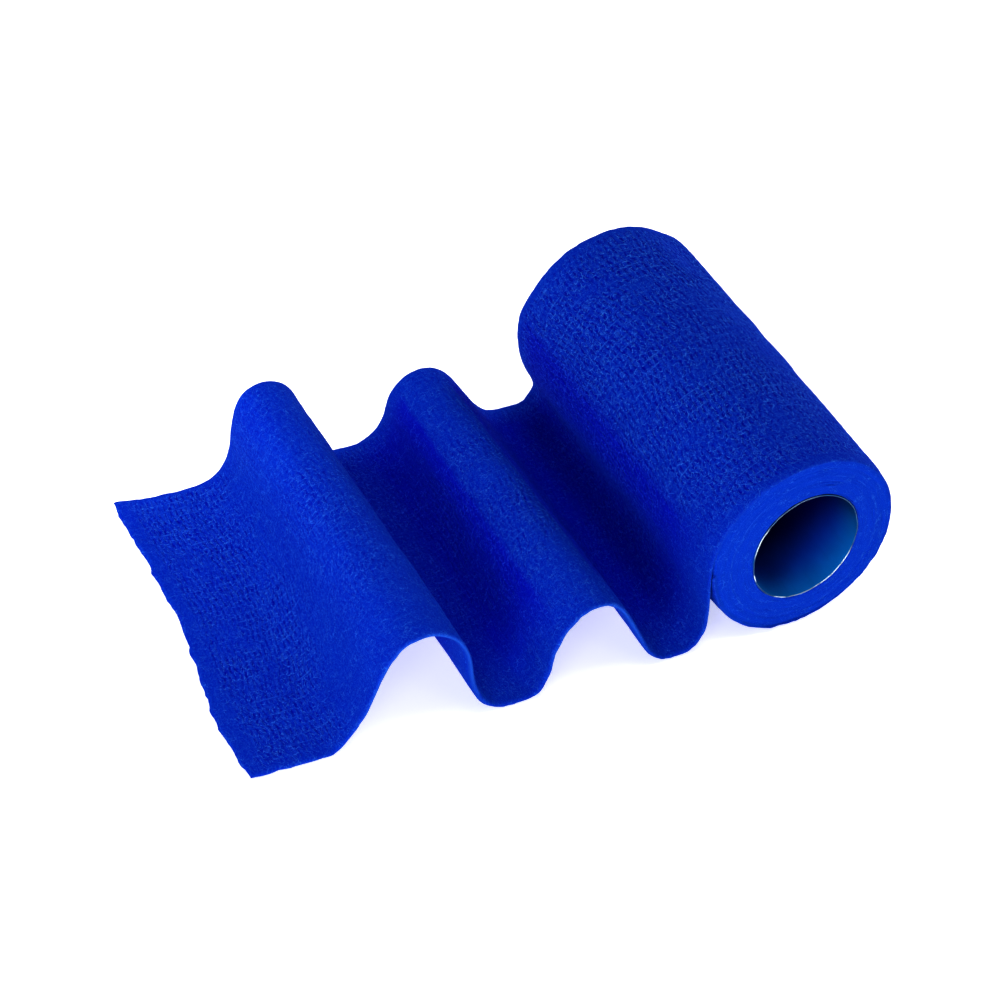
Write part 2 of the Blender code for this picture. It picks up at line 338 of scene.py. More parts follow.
# the cut end: small scallops, and the same rounding
cut_gap = U[:NA + 1]
cut_round = np.sqrt(np.clip(1.0 - (1.0 - np.minimum(cut_gap, EDGE) / EDGE) ** 2, 0.0, 1.0))
scallop = (0.34 * noise(V[:NA + 1] / 3.3, V[:NA + 1] * 0, 81)
           + 0.16 * noise(V[:NA + 1] / 1.3, V[:NA + 1] * 0, 82)) * np.exp(-cut_gap / 1.8)

full_round = ROUND.copy()
full_round[:NA + 1] *= cut_round

# the outer turns have slipped along the roll a little at its near face: mm
# outward at (angle, reach)
SLIPPED = ((-106, 13, 0.85), (-138, 11, -0.45))


def slipped(angle):
    return sum(mm * np.exp(-(((angle - at + 180.0) % 360.0 - 180.0) / wide) ** 2) for at, wide, mm in SLIPPED)


roll_angle = np.degrees(np.arctan2(top_z - ROLL_Z, top_x - ROLL_X))
y_grid = y_grid - slipped(roll_angle) * smooth(length[None, :] + 2.0, length[None, :] + 9.0, U) * np.exp(-V / 2.2)

# loose end: middle surface and half thickness
mid_x, mid_z = (top_x[:NA + 1] + under_x) / 2, (top_z[:NA + 1] + under_z) / 2
half_x, half_z = (top_x[:NA + 1] - under_x) / 2, (top_z[:NA + 1] - under_z) / 2
mid_x = mid_x + scallop - 0.45 * np.exp(-cut_gap / 4.0)

grid_x, grid_z = top_x.copy(), top_z.copy()
grid_x[:NA + 1] = mid_x + half_x * full_round[:NA + 1]
grid_z[:NA + 1] = mid_z + half_z * full_round[:NA + 1]
# the roll's rim drops by half a turn at either face, where the loose end's does
rim = 0.5 * TURN * (1.0 - ROUND[NA + 1:])
centre_a = np.arctan2(top_z[NA + 1:] - ROLL_Z, top_x[NA + 1:] - ROLL_X)
grid_x[NA + 1:] -= rim * np.cos(centre_a)
grid_z[NA + 1:] -= rim * np.sin(centre_a)

# the roll is not quite round: offsets in mm at (angle, share of the width)
OUT_OF_ROUND = ((135, 1.0, 24, 0.45, 0.45), (57, 1.0, 14, 0.22, -0.45), (206, 1.0, 13, 0.30, -0.45),
                (-122, 0.0, 26, 0.35, 0.45), (-5, 0.35, 25, 0.30, 0.22), (-8, 0.0, 20, 0.15, -0.25), (22, 0.0, 32, 0.22, -0.33),
                (126, 1.0, 20, 0.30, 0.38), (60, 1.0, 10, 0.20, -0.35), (168, 1.0, 9, 0.12, 0.42),
                (190, 1.0, 12, 0.20, -0.25), (98, 1.0, 15, 0.22, 0.50))


def out_of_round(x, z, q, u):
    angle = np.degrees(np.arctan2(z - ROLL_Z, x - ROLL_X))
    total = 0.0
    for at, share, wide, tall, mm in OUT_OF_ROUND:
        turn_off = (angle - at + 180.0) % 360.0 - 180.0
        total = total + mm * np.exp(-(turn_off / wide) ** 2 - ((q / WIDTH - share) / tall) ** 2)
    start = length[None, :] - 9.0
    return total * smooth(0.0, 6.0, u - start), np.cos(np.radians(angle)), np.sin(np.radians(angle))


off, off_c, off_s = out_of_round(top_x, top_z, V, U)
flat_keep = smooth(0.6, 3.0, top_z)
top_x, top_z = top_x + off * off_c * flat_keep, top_z + off * off_s * flat_keep
grid_x, grid_z = grid_x + off * off_c * flat_keep, grid_z + off * off_s * flat_keep
mid_x, mid_z = mid_x + (off * off_c * flat_keep)[:NA + 1], mid_z + (off * off_s * flat_keep)[:NA + 1]
N0 = normals_of(top_x, V, top_z)
lift = relief * full_round
grid_x = grid_x + N0[..., 0] * lift
grid_y = y_grid + N0[..., 1] * lift
grid_z = np.maximum(grid_z + N0[..., 2] * lift, 0.0)
N1 = normals_of(grid_x, grid_y, grid_z)


def seen_sky(x, z, step=3):
    """Share of the open sky that each point of the strip's top faces, worked out
    in the section across the waves: 1 on a crest, about 0.4 in a valley."""
    idx = np.arange(0, len(x), step)
    X, Z = x[idx], z[idx]
    tx, tz = np.gradient(X, axis=0), np.gradient(Z, axis=0)
    n = np.hypot(tx, tz) + 1e-9
    tx, tz = tx / n, tz / n
    share = np.zeros_like(X)
    for i in range(len(idx)):
        dx, dz = X - X[i], Z - Z[i]
        r = np.hypot(dx, dz) + 1e-9
        along, above = (dx * tx[i] + dz * tz[i]) / r, (dz * tx[i] - dx * tz[i]) / r
        slant = np.arctan2(along, above)
        blocks = (above > 0.02) & (r > 1.0)
        ahead = np.where(blocks & (along > 0), slant, np.pi / 2).min(0)
        behind = np.where(blocks & (along < 0), slant, -np.pi / 2).max(0)
        share[i] = (np.sin(ahead) - np.sin(behind)) / 2
    return np.stack([np.interp(np.arange(len(x)), idx, share[:, k]) for k in range(x.shape[1])], 1)


some = np.unique(np.append(np.arange(0, NW, 6), NW - 1))
sky = seen_sky(top_x[:, some], top_z[:, some])
sky = np.stack([np.interp(np.arange(NW), some, row) for row in sky])
# painted shade: the fold mark is 1 where the strip's top sees little open sky, down in the folds, and fades out
# towards the cut sides; the cloth is painted darker there
FOLD_SHADE = (1.0 - smooth(0.50, 0.70, soften(sky, 3.0))) * smooth(0.0, 22.0, V) * smooth(0.0, 9.0, WIDTH - V)
# painted highlight along the cut sides, together with their paler cut fibres: less on the roll and where the strip
# lies low before the roll
rim_highlight = (1.0 - ROUND) * (1.0 - 0.65 * smooth(190.0, 206.0, U)) * (1.0 - 0.8 * low * before_roll)
MARKS = np.stack([BORDER, rim_highlight, GATHERED, PHASE, LANE, FOLD_SHADE],
                 axis=-1)
under_relief = 0.6 * swell[:NA + 1] * full_round[:NA + 1]
low_x = mid_x - half_x * full_round[:NA + 1] - N0[:NA + 1, :, 0] * under_relief
low_y = y_grid[:NA + 1] - N0[:NA + 1, :, 1] * under_relief
low_z = np.maximum(mid_z - half_z * full_round[:NA + 1] - N0[:NA + 1, :, 2] * under_relief, 0.0)


# ------------------------------------------------------------------ mesh tools
def to_world(x, y, z):
    p = np.stack([np.asarray(x) - MIDDLE_X, np.asarray(y) - WIDTH / 2, np.asarray(z)], axis=-1)
    return p.reshape(-1, 3) * 0.001


def build(name, points, faces, uv, marks, materials, face_material, fixed_normals=None):
    """A mesh from points and faces (lists of corner indices). uv and marks are
    given per point, face_material per face. marks has the columns border, rim
    (paler cut sides with a painted highlight), gather, pleat number, thread number
    and fold (painted shade down in the folds)."""
    counts = np.array([len(f) for f in faces], np.int32)
    corners = np.concatenate([np.asarray(f, np.int32) for f in faces])
    mesh = bpy.data.meshes.new(name)
    mesh.vertices.add(len(points))
    mesh.vertices.foreach_set("co", points.astype(np.float32).ravel())
    mesh.loops.add(len(corners))
    mesh.loops.foreach_set("vertex_index", corners)
    mesh.polygons.add(len(faces))
    mesh.polygons.foreach_set("loop_start", np.concatenate([[0], np.cumsum(counts)[:-1]]).astype(np.int32))
    mesh.polygons.foreach_set("material_index", np.asarray(face_material, np.int32))
    mesh.polygons.foreach_set("use_smooth", np.ones(len(faces), bool))
    layer = mesh.uv_layers.new(name="strip")
    layer.data.foreach_set("uv", uv[corners].astype(np.float32).ravel())
    layer = mesh.uv_layers.new(name="pleat")
    layer.data.foreach_set("uv", marks[corners][:, 3:5].astype(np.float32).ravel())
    for i, label in ((0, "border"), (1, "rim"), (2, "gather"), (5, "fold")):
        attribute = mesh.attributes.new(label, "FLOAT", "POINT")
        attribute.data.foreach_set("value", marks[:, i].astype(np.float32))
    for m in materials:
        mesh.materials.append(m)
    mesh.update(calc_edges=True)
    mesh.validate()
    mesh.set_sharp_from_angle(angle=math.radians(62.0))
    if fixed_normals is not None:
        wanted = np.zeros((len(corners), 3))
        which, values = fixed_normals
        owner = np.full(len(points), -1)
        owner[which] = np.arange(len(which))
        n_fixed_loops = fixed_normals_loops
        sel = owner[corners[:n_fixed_loops]] >= 0
        wanted[:n_fixed_loops][sel] = values[owner[corners[:n_fixed_loops]][sel]]
        mesh.normals_split_custom_set(wanted.tolist())
    obj = bpy.data.objects.new(name, mesh)
    bpy.context.scene.collection.objects.link(obj)
    return obj


# ---------------------------------------------------------------- node helpers
class Nodes:
    """Short calls for building a material's node tree."""

    def __init__(self, name):
        self.mat = bpy.data.materials.new(name)
        self.mat.use_nodes = True
        self.tree = self.mat.node_tree
        self.shader = self.tree.nodes["Principled BSDF"]

    def node(self, kind, **settings):
        n = self.tree.nodes.new(kind)
        for k, val in settings.items():
            setattr(n, k, val)
        return n

    def put(self, socket, value):
        if isinstance(value, bpy.types.NodeSocket):
            self.tree.links.new(value, socket)
        elif value is not None:
            socket.default_value = value

    def math(self, op, a, b=None, c=None, clamp=False):
        n = self.node("ShaderNodeMath", operation=op, use_clamp=clamp)
        for s, val in zip(n.inputs, (a, b, c)):
            self.put(s, val)
        return n.outputs[0]

    def vec(self, op, a, b=None, scale=None):
        n = self.node("ShaderNodeVectorMath", operation=op)
        self.put(n.inputs[0], a)
        if b is not None:
            self.put(n.inputs[1], b)
        if scale is not None:
            self.put(n.inputs["Scale"], scale)
        return n.outputs["Value"] if op in ("LENGTH", "DISTANCE", "DOT_PRODUCT") else n.outputs[0]

    def noise(self, vector, scale, detail=2.0, rough=0.5, dims="3D"):
        n = self.node("ShaderNodeTexNoise", noise_dimensions=dims)
        self.put(n.inputs["Vector"], vector)
        self.put(n.inputs["Scale"], scale)
        self.put(n.inputs["Detail"], detail)
        self.put(n.inputs["Roughness"], rough)
        return n

    def ramp(self, value, low, high, to_low=0.0, to_high=1.0):
        n = self.node("ShaderNodeMapRange", interpolation_type="SMOOTHSTEP")
        for name, val in (("Value", value), ("From Min", low), ("From Max", high),
                          ("To Min", to_low), ("To Max", to_high)):
            self.put(n.inputs[name], val)
        return n.outputs[0]

    def mix(self, factor, a, b):
        n = self.node("ShaderNodeMix", data_type="RGBA")
        self.put(n.inputs[0], factor)
        self.put(n.inputs[6], a)
        self.put(n.inputs[7], b)
        return n.outputs[2]

    def multiply(self, colour, value):
        n = self.node("ShaderNodeMix", data_type="RGBA", blend_type="MULTIPLY")
        self.put(n.inputs[0], 1.0)
        self.put(n.inputs[6], colour)
        self.put(n.inputs[7], value)
        return n.outputs[2]


CLOTH_MID = (0.0003, 0.022, 0.42, 1.0)
CLOTH_LIGHT = (0.0015, 0.080, 0.55, 1.0)
# pale blue of the cloth's fibres and threads; also the colour of the painted highlights on the cut sides and the
# crimps' backs
CLOTH_BRIGHT = (0.060, 0.27, 0.76, 1.0)
# darkest blue: painted shade in the pleats' grooves and the crimps' hollows; also the cloth's own dark specks and the
# lines between the turns
DEEP_TONE_AND_SHADE = (0.0002, 0.0004, 0.34, 1.0)
SHADE_IN_FOLDS = (0.6, 0.10, 1.0, 1.0)        # painted shade: the colour darker and purer blue down in the folds
# painted shade: the pale marks' colour as it is shaded down in the folds
BRIGHT_SHADED_IN_FOLDS = (0.035, 0.14, 0.90, 1.0)
SHEEN_BLUE = (0.02, 0.30, 1.0, 1.0)


# how the cloth's small marks are drawn: sizes per mm along and across the strip,
# and how strongly each one colours or lifts the surface; the grooves and hollows are
# painted shade, the light on the crimps' backs is a painted highlight
TEX = {"warp": 0.22, "weft": 0.18, "groove_wide": 0.19, "groove_least": 0.52, "groove": 1.30,
       "lane": (0.02, 0.17), "dash": (1.15, 0.55), "edges": (0.40, 0.455), "hollow": 0.50, "back": 0.30,
       "curl": (2.2, 1.5), "curled": 0.22, "thread": 0.45,
       "mesh": (0.95, 0.55), "line": 0.12, "net": 0.85,
       "speck": 3.2, "speck_light": 0.15, "speck_dark": 0.08,
       "crease_shade": 0.90, "light": 0.62, "fibre": 0.45, "rim": 0.32, "bump": 0.52}


def strip_mm(m, across=1.0):
    """The strip's own coordinates, in mm, as a vector."""
    uv = m.node("ShaderNodeUVMap", uv_map="strip").outputs[0]
    return m.vec("MULTIPLY", uv, (100.0, 100.0 * across, 1.0))


def gaussian(m, value, centre, width):
    d = m.math("DIVIDE", m.math("SUBTRACT", value, centre), width)
    return m.math("POWER", 2.718, m.math("MULTIPLY", m.math("MULTIPLY", d, d), -1.0))


def pleats(m, p):
    """The pleats between the threads, sharper than the mesh has them, and the
    crimped fibres round them. Returns the painted shade in the pleats' grooves and
    the crimps' hollows, and how light it is: pale threads, fibres and mesh lines,
    with a painted highlight on the crimps' backs."""
    sep = m.node("ShaderNodeSeparateXYZ")
    m.put(sep.inputs[0], m.node("ShaderNodeUVMap", uv_map="pleat").outputs[0])
    gather = m.node("ShaderNodeAttribute", attribute_name="gather").outputs["Fac"]
    curl_sep = m.node("ShaderNodeSeparateColor")
    m.put(curl_sep.inputs[0], m.noise(p, 0.8, 3.0, 0.65).outputs["Color"])
    number = m.math("ADD", sep.outputs[0], m.math("MULTIPLY", m.math("SUBTRACT", curl_sep.outputs[0], 0.5), TEX["warp"]))
    lane = m.math("ADD", sep.outputs[1], m.math("MULTIPLY", m.math("SUBTRACT", curl_sep.outputs[1], 0.5), TEX["weft"]))

    groove_ = gaussian(m, m.math("FRACT", number), 0.5, TEX["groove_wide"])
    fl = m.math("FRACT", lane)
    inside = m.math("MULTIPLY", m.ramp(fl, *TEX["lane"]), m.ramp(fl, 1.0 - TEX["lane"][1], 1.0 - TEX["lane"][0], 1.0, 0.0))
    cell = m.node("ShaderNodeCombineXYZ")
    m.put(cell.inputs[0], m.math("FLOOR", number))
    m.put(cell.inputs[1], m.math("FLOOR", lane))
    white = m.node("ShaderNodeTexWhiteNoise", noise_dimensions="2D")
    m.put(white.inputs["Vector"], cell.outputs[0])
    each = m.ramp(white.outputs["Value"], 0.0, 1.0, TEX["groove_least"], 1.0)
    groove_ = m.math("MULTIPLY", m.math("MULTIPLY", groove_, inside), m.math("MULTIPLY", each, gather))

    # crimped fibres between them: short dashes that lie across the strip, in
    # wavy space, with painted shade in their hollows and a painted highlight on their backs
    wavy = m.vec("ADD", p, m.vec("MULTIPLY", m.vec("SUBTRACT", m.noise(p, 0.55, 2.0, 0.6).outputs["Color"],
                                                   (0.5, 0.5, 0.5)), (1.6, 2.4, 0.0)))
    dash = m.noise(m.vec("MULTIPLY", wavy, (*TEX["dash"], 1.0)), 1.0, 3.0, 0.62).outputs["Fac"]
    curl = m.noise(m.vec("MULTIPLY", wavy, (*TEX["curl"], 1.0)), 1.0, 2.0, 0.6).outputs["Fac"]
    some = m.ramp(gather, 0.1, 0.8, 0.35, 1.0)
    hollow = m.math("MULTIPLY", m.ramp(dash, *TEX["edges"], 1.0, 0.0), some)
    # painted highlight on the crimps' backs
    back_highlight = m.math("MULTIPLY", m.ramp(dash, 0.52, 0.70), some)
    curled = m.math("MULTIPLY", m.ramp(curl, 0.55, 0.74), some)
    crease_shade = m.math("ADD", m.math("MULTIPLY", groove_, TEX["groove"]), m.math("MULTIPLY", hollow, TEX["hollow"]))
    crease_shade = m.math("MULTIPLY", crease_shade, m.ramp(gather, 0.70, 1.20, 1.0, 1.15))
    thread = m.math("MULTIPLY", gaussian(m, m.math("FRACT", m.math("ADD", lane, 0.5)), 0.5, 0.08),
                    m.ramp(m.noise(m.vec("MULTIPLY", p, (0.16, 0.9, 1.0)), 1.0, 2.0).outputs["Fac"], 0.54, 0.68))
    vor = m.node("ShaderNodeTexVoronoi", voronoi_dimensions="2D", feature="DISTANCE_TO_EDGE")
    m.put(vor.inputs["Vector"], m.vec("MULTIPLY", wavy, (*TEX["mesh"], 1.0)))
    m.put(vor.inputs["Scale"], 1.0)
    m.put(vor.inputs["Randomness"], 1.0)
    net = m.math("MULTIPLY", m.ramp(vor.outputs["Distance"], 0.0, TEX["line"], 1.0, 0.0),
                 m.ramp(m.noise(p, 1.1, 2.0, 0.6).outputs["Fac"], 0.44, 0.60))
    net = m.math("MULTIPLY", net, m.math("MULTIPLY", some, TEX["net"]))
    thread = m.math("MAXIMUM", m.math("MULTIPLY", thread, m.math("MULTIPLY", some, TEX["thread"])), net)
    light = m.math("MAXIMUM", thread,
                   m.math("ADD", m.math("MULTIPLY", back_highlight, TEX["back"]), m.math("MULTIPLY", curled, TEX["curled"])))
    return crease_shade, m.math("MULTIPLY", light, m.ramp(gather, 0.70, 1.20, 1.0, 1.40))


def threads(m, p, size, width, seed):
    """Thin curly fibres: cell borders in wavy space, kept here and there."""
    q = m.vec("ADD", p, (seed * 31.0, seed * 13.0, 0.0))
    wob = m.noise(q, 0.45, 3.0, 0.6).outputs["Color"]
    q2 = m.vec("ADD", q, m.vec("MULTIPLY", m.vec("SUBTRACT", wob, (0.5, 0.5, 0.5)), (5.0, 5.0, 0.0)))
    vor = m.node("ShaderNodeTexVoronoi", voronoi_dimensions="2D", feature="DISTANCE_TO_EDGE")
    m.put(vor.inputs["Vector"], q2)
    m.put(vor.inputs["Scale"], 1.0 / size)
    line = m.ramp(vor.outputs["Distance"], 0.0, width / size, 1.0, 0.0)
    here = m.ramp(m.noise(q, 0.33, 1.0).outputs["Fac"], 0.50, 0.64)
    return m.math("MULTIPLY", line, here)


def cloth_material():
    m = Nodes("cohesive_cloth_puckered")
    p = strip_mm(m)
    rim = m.node("ShaderNodeAttribute", attribute_name="rim").outputs["Fac"]
    fold = m.node("ShaderNodeAttribute", attribute_name="fold").outputs["Fac"]
    crease_shade, light = pleats(m, p)
    grain = m.noise(m.vec("MULTIPLY", p, (1.0, 0.8, 1.0)), 1.9, 4.0, 0.7).outputs["Fac"]
    fibre = m.math("MAXIMUM", threads(m, p, 3.4, 0.10, 1), m.math("MULTIPLY", threads(m, p, 1.9, 0.10, 2), 0.8))
    speck = m.noise(p, TEX["speck"], 2.0, 0.6).outputs["Fac"]
    broad = m.noise(p, 0.06, 2.0).outputs["Fac"]

    colour = m.mix(m.ramp(broad, 0.3, 0.7, 0.0, 0.14), CLOTH_MID, CLOTH_LIGHT)
    colour = m.mix(m.ramp(grain, 0.36, 0.70, 0.0, 0.36), colour, CLOTH_LIGHT)
    # painted shade in the pleats' grooves and the crimps' hollows
    colour = m.mix(m.math("MULTIPLY", crease_shade, TEX["crease_shade"], clamp=True), colour, DEEP_TONE_AND_SHADE)
    colour = m.mix(m.ramp(speck, 0.30, 0.50, TEX["speck_dark"], 0.0), colour, DEEP_TONE_AND_SHADE)
    # painted shade: the colour, and the pale marks' colour, darkened down in the folds
    colour = m.multiply(colour, m.mix(fold, (1.0, 1.0, 1.0, 1.0), SHADE_IN_FOLDS))
    bright = m.mix(fold, CLOTH_BRIGHT, BRIGHT_SHADED_IN_FOLDS)
    # pale threads, fibres and mesh lines, and a painted highlight on the crimps' backs
    colour = m.mix(m.math("MULTIPLY", light, TEX["light"], clamp=True), colour, bright)
    colour = m.mix(m.math("MULTIPLY", fibre, TEX["fibre"]), colour, bright)
    colour = m.mix(m.ramp(speck, 0.50, 0.72, 0.0, TEX["speck_light"]), colour, bright)
    # painted highlight along the cut sides
    colour = m.mix(m.math("MULTIPLY", rim, TEX["rim"], clamp=True), colour, CLOTH_BRIGHT)
    m.put(m.shader.inputs["Base Color"], colour)

    height = m.math("MULTIPLY", crease_shade, -0.20)
    height = m.math("ADD", height, m.math("MULTIPLY", light, 0.10))
    height = m.math("ADD", height, m.math("MULTIPLY", grain, 0.26))
    height = m.math("ADD", height, m.math("MULTIPLY", speck, 0.10))
    height = m.math("ADD", height, m.math("MULTIPLY", fibre, 0.09))
    bump = m.node("ShaderNodeBump")
    m.put(bump.inputs["Height"], height)
    m.put(bump.inputs["Distance"], 0.001)
    m.put(bump.inputs["Strength"], TEX["bump"])
    m.put(m.shader.inputs["Normal"], bump.outputs[0])
    m.put(m.shader.inputs["Roughness"], m.ramp(grain, 0.3, 0.7, 0.78, 0.95))
    m.put(m.shader.inputs["Specular IOR Level"], 0.02)
    m.put(m.shader.inputs["Sheen Weight"], 0.15)
    m.put(m.shader.inputs["Sheen Roughness"], 0.45)
    m.put(m.shader.inputs["Sheen Tint"], SHEEN_BLUE)
    return m.mat


def edge_material():
    """The end faces: cut sides of the turns, pressed together and nearly smooth."""
    m = Nodes("cohesive_cloth_turns")
    p = strip_mm(m)
    grain = m.noise(m.vec("MULTIPLY", p, (0.5, 2.0, 1.0)), 1.3, 4.0, 0.6).outputs["Fac"]
    fine = m.noise(p, 3.2, 3.0, 0.6).outputs["Fac"]
    sep = m.node("ShaderNodeSeparateXYZ")
    m.put(sep.inputs[0], p)
    turn = sep.outputs[1]
    saw = m.math("FRACT", m.math("ADD", turn, m.math("MULTIPLY", m.noise(p, 0.2, 2.0).outputs["Fac"], 0.5)))
    line = m.math("MULTIPLY", m.ramp(m.math("ABSOLUTE", m.math("SUBTRACT", saw, 0.5)), 0.36, 0.5),
                  m.ramp(m.noise(m.vec("MULTIPLY", p, (0.12, 0.7, 1.0)), 1.0, 2.0).outputs["Fac"], 0.42, 0.62))
    fibre = m.math("MAXIMUM", threads(m, m.vec("MULTIPLY", p, (1.0, 0.8, 1.0)), 3.4, 0.12, 3),
                   threads(m, m.vec("MULTIPLY", p, (0.8, 1.3, 1.0)), 1.7, 0.12, 4))
    colour = m.mix(m.ramp(grain, 0.35, 0.7, 0.0, 0.35), (0.001, 0.046, 0.50, 1.0), CLOTH_LIGHT)
    frayed = m.math("MULTIPLY", m.math("MAXIMUM", gaussian(m, turn, 5.6, 0.16), m.math("MULTIPLY", gaussian(m, turn, 2.4, 0.12), 0.5)),
                    m.ramp(m.noise(m.vec("MULTIPLY", p, (0.28, 0.5, 1.0)), 1.0, 3.0, 0.7).outputs["Fac"], 0.44, 0.62))
    colour = m.mix(m.math("MULTIPLY", line, 0.16), colour, DEEP_TONE_AND_SHADE)
    colour = m.mix(m.ramp(fine, 0.50, 0.72, 0.0, 0.27), colour, CLOTH_BRIGHT)
    colour = m.mix(m.math("MULTIPLY", frayed, 0.30), colour, CLOTH_BRIGHT)
    colour = m.mix(m.math("MULTIPLY", fibre, 0.36), colour, CLOTH_BRIGHT)
    m.put(m.shader.inputs["Base Color"], colour)
    height = m.math("ADD", m.math("MULTIPLY", grain, 0.10), m.math("MULTIPLY", fine, 0.06))
    height = m.math("SUBTRACT", height, m.math("MULTIPLY", line, 0.05))
    height = m.math("ADD", height, m.math("MULTIPLY", fibre, 0.05))
    bump = m.node("ShaderNodeBump")
    m.put(bump.inputs["Height"], height)
    m.put(bump.inputs["Distance"], 0.001)
    m.put(bump.inputs["Strength"], 0.7)
    m.put(m.shader.inputs["Normal"], bump.outputs[0])
    m.put(m.shader.inputs["Roughness"], 0.9)
    m.put(m.shader.inputs["Specular IOR Level"], 0.03)
    m.put(m.shader.inputs["Sheen Weight"], 0.2)
    m.put(m.shader.inputs["Sheen Roughness"], 0.45)
    m.put(m.shader.inputs["Sheen Tint"], SHEEN_BLUE)
    return m.mat


def core_material():
    """The tube's wall: satin, with painted shade in the bore: darker and purer blue away from its two ends, and darker
    towards the top of the bore.
    """
    m = Nodes("core_navy_plastic")
    geo = m.node("ShaderNodeTexCoord").outputs["Object"]
    sep = m.node("ShaderNodeSeparateXYZ")
    m.put(sep.inputs[0], geo)
    inward = m.math("SUBTRACT", WIDTH / 2000.0, m.math("ABSOLUTE", sep.outputs[1]))
    streak = m.noise(m.vec("MULTIPLY", geo, (900.0, 60.0, 900.0)), 1.0, 3.0, 0.55).outputs["Fac"]
    cloud = m.noise(geo, 90.0, 3.0, 0.5).outputs["Fac"]
    colour = m.mix(m.ramp(cloud, 0.3, 0.7), (0.002, 0.175, 0.55, 1.0), (0.003, 0.210, 0.64, 1.0))
    colour = m.mix(m.ramp(streak, 0.45, 0.75, 0.0, 0.2), colour, (0.005, 0.16, 0.46, 1.0))
    upper = m.math("DIVIDE", m.math("SUBTRACT", sep.outputs[2], (ROLL_Z - CORE_DROP) / 1000.0), CORE_BORE_R / 1000.0)
    # painted shade: the bore darkens further in from either end, sooner near its top
    bore_shade = m.ramp(m.math("ADD", inward, m.math("MULTIPLY", upper, 0.006)), 0.000, 0.017)
    colour = m.mix(bore_shade, colour, (0.0002, 0.0005, 0.13, 1.0))
    # painted shade: darker still, and purer blue, further in
    colour = m.multiply(colour, m.mix(m.ramp(inward, 0.0, 0.012), (1.0, 1.0, 1.0, 1.0), (0.5, 0.35, 0.95, 1.0)))
    # painted shade: darker towards the top of the bore
    colour = m.multiply(colour, m.ramp(upper, -0.5, 0.90, 1.0, 0.05))
    m.put(m.shader.inputs["Base Color"], colour)
    bump = m.node("ShaderNodeBump")
    m.put(bump.inputs["Height"], streak)
    m.put(bump.inputs["Distance"], 0.00004)
    m.put(bump.inputs["Strength"], 0.5)
    m.put(m.shader.inputs["Normal"], bump.outputs[0])
    m.put(m.shader.inputs["Roughness"], m.ramp(cloud, 0.3, 0.7, 0.42, 0.55))
    m.put(m.shader.inputs["Specular IOR Level"], 0.12)
    return m.mat


# where the tube's near rim has painted glints, pale: degrees round it, half length, strength
PAINTED_GLINTS = ((159.0, 17.0, 1.0), (-46.0, 26.0, 1.0), (-109.0, 7.0, 0.8), (-156.0, 4.5, 0.9), (110.0, 26.0, 0.18),
          (-86.0, 14.0, 0.35))


def core_rim_material():
    """The tube's ends: the same plastic cut clean, glossy, with pale painted glints on the near rim."""
    m = Nodes("core_navy_plastic_cut")
    geo = m.node("ShaderNodeTexCoord").outputs["Object"]
    worn = m.noise(geo, 420.0, 3.0, 0.6).outputs["Fac"]
    sep = m.node("ShaderNodeSeparateXYZ")
    m.put(sep.inputs[0], geo)
    centre_x = (CORE_X + MOUTH_X - MIDDLE_X) / 1000.0
    centre_z = (ROLL_Z - CORE_DROP - MOUTH_DROP) / 1000.0
    round_it = m.math("ARCTAN2", m.math("SUBTRACT", sep.outputs[2], centre_z), m.math("SUBTRACT", sep.outputs[0], centre_x))
    glint_mask = None
    for at, reach, strong in PAINTED_GLINTS:
        off_ = m.math("SUBTRACT", round_it, math.radians(at))
        off_ = m.math("ABSOLUTE", m.math("WRAP", off_, math.pi, -math.pi))
        one = m.ramp(off_, math.radians(reach * 0.55), math.radians(reach * 1.25), strong, 0.0)
        glint_mask = one if glint_mask is None else m.math("MAXIMUM", glint_mask, one)
    # the painted glints are broken up in places and kept to the near rim
    glint_mask = m.math("MULTIPLY", glint_mask, m.ramp(worn, 0.30, 0.48, 0.35, 1.0))
    glint_mask = m.math("MULTIPLY", glint_mask, m.math("LESS_THAN", sep.outputs[1], 0.0))
    colour = m.mix(m.ramp(worn, 0.35, 0.7), (0.003, 0.07, 0.20, 1.0), (0.008, 0.13, 0.32, 1.0))
    # painted glints: the rim is painted pale where they fall
    m.put(m.shader.inputs["Base Color"], m.mix(glint_mask, colour, (0.80, 0.95, 1.0, 1.0)))
    bump = m.node("ShaderNodeBump")
    m.put(bump.inputs["Height"], worn)
    m.put(bump.inputs["Distance"], 0.0001)
    m.put(bump.inputs["Strength"], 0.5)
    m.put(m.shader.inputs["Normal"], bump.outputs[0])
    m.put(m.shader.inputs["Roughness"], m.ramp(worn, 0.35, 0.7, 0.10, 0.25))
    m.put(m.shader.inputs["Specular IOR Level"], 0.5)
    m.put(m.shader.inputs["Coat Weight"], 0.2)
    m.put(m.shader.inputs["Coat Roughness"], 0.06)
    return m.mat


MAT_CLOTH, MAT_EDGE = cloth_material(), edge_material()
MAT_CORE, MAT_RIM = core_material(), core_rim_material()


